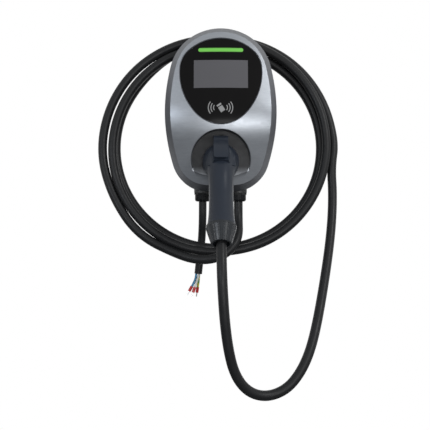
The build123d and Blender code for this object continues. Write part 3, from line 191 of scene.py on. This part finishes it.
class Nodes:
    """Short calls for building one material's node tree."""

    def __init__(self, name):
        self.material = bpy.data.materials.new(name)
        self.material.use_nodes = True
        self.tree = self.material.node_tree
        self.shader = self.tree.nodes["Principled BSDF"]
        self.coordinates = self.tree.nodes.new("ShaderNodeTexCoord").outputs["Object"]

    def link(self, value, socket):
        connect(self.tree, value, socket)

    def maths(self, operation, *values):
        return maths_node(self.tree, operation, *values)

    def add(self, first, second):
        return self.maths("ADD", first, second)

    def less(self, first, second):
        return self.maths("SUBTRACT", first, second)

    def times(self, first, second):
        return self.maths("MULTIPLY", first, second)

    def most(self, first, second):
        return self.maths("MAXIMUM", first, second)

    def away(self, first, second):
        """Distance from zero in two directions."""
        return self.maths("SQRT", self.add(self.times(first, first), self.times(second, second)))

    def noise(self, scale, detail=3.0, roughness=0.5, stretch=None):
        node = self.tree.nodes.new("ShaderNodeTexNoise")
        node.inputs["Scale"].default_value = scale
        node.inputs["Detail"].default_value = detail
        node.inputs["Roughness"].default_value = roughness
        place = self.coordinates
        if stretch:
            mapping = self.tree.nodes.new("ShaderNodeMapping")
            mapping.inputs["Scale"].default_value = stretch
            self.link(self.coordinates, mapping.inputs["Vector"])
            place = mapping.outputs[0]
        self.link(place, node.inputs["Vector"])
        return node.outputs["Fac"]

    def span(self, value, taken, given):
        """Carries one range of values over to another."""
        node = self.tree.nodes.new("ShaderNodeMapRange")
        for name, number in zip(("From Min", "From Max", "To Min", "To Max"), (*taken, *given)):
            node.inputs[name].default_value = number
        self.link(value, node.inputs["Value"])
        return node.outputs["Result"]

    def uneven(self, scale, low, high):
        """A cloudy value between two numbers."""
        return self.span(self.noise(scale), NOISE_RANGE, (low, high))

    def mix(self, factor, first, second):
        node = self.tree.nodes.new("ShaderNodeMix")
        node.data_type = "RGBA"
        colour_inputs = (node.inputs[6], node.inputs[7])
        self.link(factor, node.inputs[0])
        for value, socket in zip((first, second), colour_inputs):
            if not isinstance(value, bpy.types.NodeSocket):
                value = (*value, 1.0)
            self.link(value, socket)
        return node.outputs[2]

    def bump(self, height, distance):
        node = self.tree.nodes.new("ShaderNodeBump")
        node.inputs["Strength"].default_value = 1.0
        node.inputs["Distance"].default_value = distance
        self.link(height, node.inputs["Height"])
        self.link(node.outputs["Normal"], self.shader.inputs["Normal"])

    def axes(self):
        node = self.tree.nodes.new("ShaderNodeSeparateXYZ")
        self.link(self.coordinates, node.inputs[0])
        return node.outputs[0], node.outputs[1], node.outputs[2]

    def set(self, **values):
        for name, value in values.items():
            self.link(value, self.shader.inputs[name.replace("_", " ")])

    def specular(self, level):
        self.shader.inputs["Specular IOR Level"].default_value = level

    def inside(self, value, low, high):
        """1 between two values, with a narrow soft edge."""
        soft = 0.00015
        above = self.span(value, (low - soft, low + soft), OFF_TO_ON)
        below = self.span(value, (high - soft, high + soft), ON_TO_OFF)
        return self.times(above, below)


# Materials

def plastic(name, colour, roughness, specular=0.5, grain=0.00004):
    """Moulded plastic with a fine grain, slight clouding and uneven gloss."""
    variation = 0.08
    gloss_spread = 0.05
    made = Nodes(name)
    cloud = made.noise(scale=35.0, detail=4.0)
    made.set(
        Base_Color=made.mix(cloud, shade(colour, 1 - variation), shade(colour, 1 + variation)),
        Roughness=made.uneven(90.0, roughness - gloss_spread, roughness + gloss_spread),
    )
    made.specular(specular)
    made.bump(made.noise(scale=1400.0, detail=2.0), grain)
    return made.material


def metal(name, colour, roughness, grain_scale=500.0):
    """Bare metal, a little uneven in colour and gloss, with a fine grain."""
    darker = 0.88
    lighter = 1.08
    gloss_spread = 0.08
    made = Nodes(name)
    grain = made.noise(grain_scale, detail=4.0, roughness=0.6)
    gloss = (roughness - gloss_spread, roughness + gloss_spread)
    made.set(
        Base_Color=made.mix(made.noise(scale=60.0), shade(colour, darker), shade(colour, lighter)),
        Roughness=made.span(grain, NOISE_RANGE, gloss),
    )
    made.shader.inputs["Metallic"].default_value = 1.0
    made.bump(grain, distance=0.00002)
    return made.material


def dish_mask(made):
    """1 on the dish behind the plug, fading towards its lower rim."""
    centre_drop = 0.0865
    rim = (0.0499, 0.0505)
    face_depth = 0.1075
    face_drop = 0.0905
    tilt = radians(4)
    wall = (-0.0022, -0.0001)
    fade = (-0.122, -0.098)
    left_at_rim = 0.25
    x, y, z = made.axes()
    round_hole = made.span(made.away(x, made.add(z, centre_drop)), rim, ON_TO_OFF)
    lift = made.add(
        made.times(made.add(y, face_depth), -cos(tilt)),
        made.times(made.add(z, face_drop), -sin(tilt)),
    )
    mask = made.times(round_hole, made.span(lift, wall, OFF_TO_ON))
    return made.times(mask, made.span(z, fade, (left_at_rim, 1.0)))


def cover_paint():
    """Metallic grey paint with flakes and faint brushing, with painted shade on the band round the
    edge and on every surface turned away from the front, and darker and not metallic in the dish
    behind the plug."""
    paint = ((0.272, 0.290, 0.316), (0.300, 0.318, 0.342))
    # Painted shade: the colour taken by surfaces turned away from the front, the band round the
    # edge among them.
    sideways_shade_colour = (0.128, 0.135, 0.150)
    sideways_shade_turn = (-0.86, -0.74)
    dish_dark = ((0.020, 0.021, 0.023), (0.026, 0.027, 0.030))
    cloud_share = 0.5
    cloud_start = 0.25
    flake_scale = 2600.0
    flake_reach = (0.0, 0.6)
    flake_gain = (1.12, 0.92)
    brush_scale = 420.0
    brush_stretch = (0.05, 1.0, 1.0)
    brush_gain = (0.95, 1.05)
    metal_share = 0.6

    made = Nodes("cover_paint")
    tone = made.maths("MULTIPLY_ADD", made.noise(scale=22.0), cloud_share, cloud_start)
    facing = made.tree.nodes.new("ShaderNodeSeparateXYZ")
    geometry = made.tree.nodes.new("ShaderNodeNewGeometry")
    made.link(geometry.outputs["Normal"], facing.inputs[0])
    # Painted shade: faces whose normal turns away from the front take the darker colour.
    sideways_shade = made.span(facing.outputs[1], sideways_shade_turn, OFF_TO_ON)
    colour = made.mix(sideways_shade, made.mix(tone, *paint), sideways_shade_colour)

    flakes = made.tree.nodes.new("ShaderNodeTexVoronoi")
    flakes.inputs["Scale"].default_value = flake_scale
    made.link(made.coordinates, flakes.inputs["Vector"])
    sparkle = made.span(flakes.outputs["Distance"], flake_reach, flake_gain)
    brushing = made.noise(brush_scale, roughness=0.6, stretch=brush_stretch)
    sparkle = made.times(sparkle, made.span(brushing, NOISE_RANGE, brush_gain))
    scaled = made.tree.nodes.new("ShaderNodeVectorMath")
    scaled.operation = "SCALE"
    made.link(colour, scaled.inputs[0])
    made.link(sparkle, scaled.inputs["Scale"])

    # Darker and not metallic in the dish behind the plug, fading towards its lower rim.
    dish = dish_mask(made)
    made.set(
        Base_Color=made.mix(dish, scaled.outputs[0], made.mix(made.noise(scale=40.0), *dish_dark)),
        Metallic=made.span(dish, OFF_TO_ON, (metal_share, 0.0)),
        Roughness=made.uneven(140.0, 0.31, 0.37),
    )
    made.specular(0.12)
    peel = made.noise(brush_scale, detail=2.0)
    made.bump(made.add(peel, made.noise(flake_scale, detail=1.0)), distance=0.00002)
    return made.material


def arc_rings(made, side, high):
    """Three arcs on each side of the sign's middle."""
    arc_centre = 0.0050
    half_width = 0.00075
    inner_radius = 0.0068
    middle_radius = 0.0112
    outer_radius = 0.0156
    least_reach = 0.0001
    end_slope = (0.80, 0.86)
    reach = made.less(side, arc_centre)
    distance = made.away(reach, high)
    inner, middle, outer = (
        made.inside(distance, radius - half_width, radius + half_width)
        for radius in (inner_radius, middle_radius, outer_radius)
    )
    rings = made.most(made.most(inner, middle), outer)
    slope = made.maths("DIVIDE", made.maths("ABSOLUTE", high), made.most(reach, least_reach))
    return made.times(rings, made.span(slope, end_slope, ON_TO_OFF))


def leaning_card(made, x, high):
    """A card with a stripe across it."""
    turn = radians(33)
    half_width = 0.0042
    half_height = 0.0072
    stripe_low = 0.0025
    stripe_high = 0.0042
    across = made.add(made.times(x, cos(turn)), made.times(high, sin(turn)))
    upright = made.less(made.times(high, cos(turn)), made.times(x, sin(turn)))
    column = made.inside(across, -half_width, half_width)
    card = made.times(column, made.inside(upright, -half_height, half_height))
    return made.less(card, made.times(column, made.inside(upright, stripe_low, stripe_high)))


def panel_glass():
    """Glossy black panel with a grey screen and a card-reader sign printed behind it."""
    screen_left = -0.0459
    screen_right = 0.0461
    screen_foot = 0.0334
    screen_top = 0.0818
    sign_level = -0.0008
    sign_middle = -0.0006
    ink = (0.40, 0.40, 0.40)
    ink_share = 0.85
    black = ((0.0065, 0.0062, 0.0064), (0.0085, 0.0082, 0.0084))
    grey = ((0.118, 0.117, 0.125), (0.130, 0.129, 0.138))

    made = Nodes("panel_glass")
    x, _, z = made.axes()
    screen = made.times(
        made.inside(x, screen_left, screen_right), made.inside(z, screen_foot, screen_top)
    )
    high = made.less(z, sign_level)
    side = made.maths("ABSOLUTE", made.less(x, sign_middle))
    sign = made.most(arc_rings(made, side, high), leaning_card(made, x, high))
    printed = made.mix(made.times(sign, ink_share), made.mix(made.noise(scale=30.0), *black), ink)
    made.set(
        Base_Color=made.mix(screen, printed, made.mix(made.noise(scale=12.0), *grey)),
        Roughness=made.uneven(60.0, 0.16, 0.20),
    )
    made.specular(0.05)
    made.bump(made.noise(scale=18.0, detail=2.0), distance=0.00003)
    return made.material


def light_guide():
    """Green light bar that glows less towards its long edges."""
    bar_level = 0.0997
    edge = (0.0018, 0.0034)
    edge_share = 0.45
    glow_strength = 0.9
    body = ((0.045, 0.19, 0.028), (0.055, 0.21, 0.034))
    glow = ((0.110, 0.37, 0.042), (0.125, 0.41, 0.050))
    made = Nodes("light_guide")
    _, _, z = made.axes()
    from_middle = made.maths("ABSOLUTE", made.less(z, bar_level))
    middle = made.span(from_middle, edge, (1.0, edge_share))
    cloud = made.noise(scale=120.0)
    made.set(
        Base_Color=made.mix(cloud, *body),
        Emission_Color=made.mix(cloud, *glow),
        Emission_Strength=made.times(middle, glow_strength),
        Roughness=made.uneven(300.0, 0.3, 0.4),
    )
    made.bump(made.noise(scale=900.0), distance=0.00002)
    return made.material


def sheath(name, colour):
    """Satin cable sheath with slight clouding and a fine grain."""
    darker = 0.85
    lighter = 1.2
    made = Nodes(name)
    cloud = made.noise(scale=45.0, detail=4.0)
    made.set(
        Base_Color=made.mix(cloud, shade(colour, darker), shade(colour, lighter)),
        Roughness=made.uneven(70.0, 0.36, 0.46),
    )
    made.specular(0.18)
    made.bump(made.noise(scale=1100.0, detail=2.0), distance=0.00004)
    return made.material


def earth_wire():
    """Green insulation with a yellow stripe wound round it."""
    lean = 1.5
    stripes = 420.0
    soft_edge = (-0.1, 0.1)
    green = (0.05, 0.24, 0.05)
    yellow = (0.62, 0.55, 0.06)
    made = Nodes("earth_wire")
    x, _, z = made.axes()
    wave = made.maths("SINE", made.times(made.add(z, made.times(x, lean)), stripes))
    stripe = made.span(wave, soft_edge, OFF_TO_ON)
    made.set(
        Base_Color=made.mix(stripe, green, yellow),
        Roughness=made.uneven(300.0, 0.35, 0.45),
    )
    made.bump(made.noise(scale=1500.0), distance=0.00003)
    return made.material


smooth_grain = 0.00001
housing = plastic("housing_plastic", (0.020, 0.021, 0.023), roughness=0.5)
plug_slate = plastic(
    "plug_slate", (0.021, 0.027, 0.039), roughness=0.34, specular=0.2, grain=smooth_grain
)
plug_black = plastic(
    "plug_black", (0.015, 0.018, 0.022), roughness=0.28, specular=0.3, grain=smooth_grain
)
gland_plastic = plastic("gland_plastic", (0.009, 0.0095, 0.011), roughness=0.40, specular=0.08)
seal_rubber = plastic("seal_rubber", (0.012, 0.012, 0.012), roughness=0.6, specular=0.3)
steel = metal("steel", (0.56, 0.56, 0.55), roughness=0.34)
galvanised = metal("galvanised", (0.55, 0.56, 0.57), roughness=0.42, grain_scale=90.0)
brass = metal("brass", (0.66, 0.48, 0.20), roughness=0.3)
aluminium = metal("aluminium", (0.60, 0.61, 0.63), roughness=0.36)
tin = metal("tin", (0.70, 0.70, 0.70), roughness=0.28)
board = plastic("solder_mask", (0.015, 0.12, 0.05), roughness=0.35)
black_part = plastic("component_black", (0.018, 0.018, 0.018), roughness=0.5)
terminal_grey = plastic("terminal_grey", (0.32, 0.34, 0.34), roughness=0.5)
led_white = plastic("led_white", (0.70, 0.70, 0.66), roughness=0.5)
screen_part = plastic("screen_module", (0.05, 0.05, 0.055), roughness=0.25)
red_sleeve = plastic("red_sleeve", (0.50, 0.018, 0.020), roughness=0.4)
wire_blue = plastic("wire_blue", (0.055, 0.26, 0.46), roughness=0.4)
wire_pale = plastic("wire_pale", (0.72, 0.72, 0.68), roughness=0.4)
cable_sheath = sheath("cable_sheath", (0.013, 0.0135, 0.0145))
earth = earth_wire()

by_material = {
    cover_paint(): ["front_cover"],
    panel_glass(): ["display_panel"],
    light_guide(): ["light_bar"],
    housing: ["rear_housing", "holster_socket"],
    plug_slate: ["plug_shell_outer", "plug_shell_inner", "latch_lever"],
    plug_black: ["plug_nose", "strain_relief_nut", "cable_bush"],
    gland_plastic: [
        "supply_gland_body", "supply_gland_nut", "charge_gland_body", "charge_gland_nut",
        "gland_locknuts",
    ],
    seal_rubber: ["cover_seal", "supply_gland_seal", "charge_gland_seal"],
    steel: [
        "bracket_screws", "cover_screws", "main_board_screws", "control_board_screws",
        "holster_screws", "plug_screws", "lever_pin",
    ],
    galvanised: ["wall_bracket"],
    brass: ["earth_bar", "contact_sleeves"],
    aluminium: ["capacitors"],
    tin: ["ferrule_tips"],
    board: ["main_board", "control_board", "antenna_board"],
    black_part: ["relays", "power_supply", "current_sensor"],
    terminal_grey: ["input_terminals", "output_terminals"],
    led_white: ["led_strip"],
    screen_part: ["lcd_module"],
    red_sleeve: ["ferrule_collars"],
    wire_blue: ["supply_wires", "charge_wires", "sensor_wires", "plug_wires"],
}


def dress(piece, finish):
    piece.data.materials.clear()
    piece.data.materials.append(finish)


for finish, names in by_material.items():
    for name in names:
        piece = nodes[name]
        if not piece.material_slots:
            piece.data.materials.append(finish)
        for place in piece.material_slots:
            place.material = finish

dress(charging_cable, cable_sheath)
dress(supply_lead, cable_sheath)


# The supply lead's three cores, each with a straight start, a bend and an end in its ferrule

core_starts = [(-43.6, 44.5, -284.0), (-38.4, 47.3, -284.0), (-38.4, 41.7, -284.0)]
core_bends = [(-45.8, 45.0, -301.0), (-42.5, 48.5, -301.0), (-39.7, 42.0, -302.0)]
core_ends = [(-52.0, 45.5, -312.0), (-46.5, 50.5, -313.0), (-41.5, 40.5, -314.0)]
straight_drop = 6.0
straight_side = 0.5
for name, start, bend, end, finish in zip(
    ("blue_core", "pale_core", "earth_core"), core_starts, core_bends, core_ends,
    (wire_blue, wire_pale, earth),
):
    x, depth, level = start
    below = (x - straight_side, depth, level - straight_drop)
    core = spline_object(name, [start, below, bend, end], core_diameter)
    dress(core, finish)
    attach(core, "wallbox")
    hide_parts("supply_cores")


# The lever's spring, drawn as one fixed coil; on the plug it shortens as the thumb lever is
# pressed

spring_turns = 3.5
spring_steps = 84
spring_wire = 0.9
spring_radius = 3.03
spring_rise = 10.6
spring_lean = radians(32)
spring_base = (0.0, 161.33, -82.02)


def spring_points():
    points = []
    for step in range(spring_steps + 1):
        share = step / spring_steps
        turn = 2 * pi * spring_turns * share
        across = spring_radius * cos(turn)
        over = spring_radius * sin(turn)
        rise = spring_rise * share
        depth = spring_base[1] + rise * sin(spring_lean) - over * cos(spring_lean)
        level = spring_base[2] + rise * cos(spring_lean) + over * sin(spring_lean)
        points.append((spring_base[0] + across, depth, level))
    return points


helix = spline_object("helix", spring_points(), spring_wire, steps_along=3, steps_round=4)
bpy.context.view_layer.update()
spring_mesh = bpy.data.meshes.new_from_object(
    helix.evaluated_get(bpy.context.evaluated_depsgraph_get())
)
bpy.data.objects.remove(helix)
short_spring = bpy.data.objects.new("short_spring", spring_mesh)
bpy.context.collection.objects.link(short_spring)
dress(short_spring, steel)
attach(short_spring, "wallbox")
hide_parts("lever_spring")
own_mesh(short_spring)


# What each cord is, and what hangs on it

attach(charging_cable, "wallbox")
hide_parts("cable_drop", "cable_coil", "cable_loop")
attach(supply_lead, "wallbox")
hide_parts("supply_cable")


# Floor and background

floor_level = -0.80
floor_reach = 4
floor_far_edge = 0.6
floor_colour = (0.20, 0.20, 0.205)
floor_glow = 0.08
fill_light = 0.12


def matt_floor(name, colour, glow):
    """A matt surface, a little paler to the camera, in reflections and through glass."""
    made = Nodes(name)
    darker = 0.98
    made.set(
        Base_Color=made.mix(made.noise(scale=3.0), shade(colour, darker), colour),
        Emission_Strength=made.times(direct_ray(made.tree), glow),
        Roughness=made.uneven(8.0, 0.7, 0.8),
    )
    made.shader.inputs["Emission Color"].default_value = (*WHITE, 1.0)
    return made.material


floor_mesh = bpy.data.meshes.new("floor")
floor_mesh.from_pydata(
    [
        (-floor_reach, -floor_reach, floor_level), (floor_reach, -floor_reach, floor_level),
        (floor_reach, floor_far_edge, floor_level), (-floor_reach, floor_far_edge, floor_level),
    ],
    [], [(0, 1, 2, 3)],
)
floor = bpy.data.objects.new("floor", floor_mesh)
bpy.context.collection.objects.link(floor)
floor_mesh.materials.append(matt_floor("floor_grey", floor_colour, floor_glow))

world = bpy.data.worlds.new("world")
bpy.context.scene.world = world
world.use_nodes = True
tree = world.node_tree
background = tree.nodes["Background"]
beyond_fill = maths_node(tree, "MULTIPLY", direct_ray(tree), 1 - fill_light)
strength = maths_node(tree, "ADD", beyond_fill, fill_light)
background.inputs["Color"].default_value = (*WHITE, 1.0)
tree.links.new(strength, background.inputs["Strength"])


# Lamps: a key light from the upper right, a broad low one in front and a cool one on the left

def lamp(name, place, aim, width, height, power, colour=WHITE):
    data = bpy.data.lights.new(name, "AREA")
    data.shape = "RECTANGLE"
    data.size = width
    data.size_y = height
    data.energy = power
    data.color = colour
    light = bpy.data.objects.new(name, data)
    bpy.context.collection.objects.link(light)
    light.location = place
    way = Vector(aim) - Vector(place)
    light.rotation_euler = way.to_track_quat("-Z", "Y").to_euler()


lamp(
    "key_light", place=(1.30, -1.45, 0.95), aim=(0.0, -0.1, -0.05), width=0.35, height=0.35,
    power=15.5,
)
lamp(
    "front_light", place=(0.38, -1.75, -0.20), aim=(0.0, -0.1, 0.0), width=1.1, height=0.25,
    power=10.0,
)
lamp(
    "left_light", place=(-1.05, -1.45, 0.20), aim=(0.0, -0.1, 0.0), width=0.5, height=0.5,
    power=5.8, colour=(0.86, 0.92, 1.0),
)

bpy.context.scene.view_settings.view_transform = "Standard"
